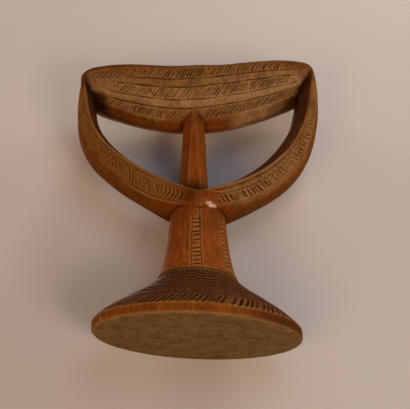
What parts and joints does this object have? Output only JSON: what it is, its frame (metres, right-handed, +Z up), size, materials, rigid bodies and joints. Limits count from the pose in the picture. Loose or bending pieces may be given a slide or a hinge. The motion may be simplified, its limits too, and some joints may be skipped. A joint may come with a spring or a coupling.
{
  "type": "carved headrest",
  "caption": "Carved wooden headrest: an oval foot and a waisted stem carry a crescent and a post, which hold up a dished platform for the head; bands of oblique strokes are cut into it.",
  "frame": {"origin": "middle of the flat underside of the foot", "axes": "+Z up from the foot to the platform; the carved front faces -Y; +X is the right-hand arm as the front is seen"},
  "size_m": [0.1541, 0.0706, 0.1848],
  "materials": {
    "wood": "worn and darkened by handling, with a low sheen"
  },
  "bodies": {
    "root": {"headrest": "wood"}
  },
  "joints": []
}
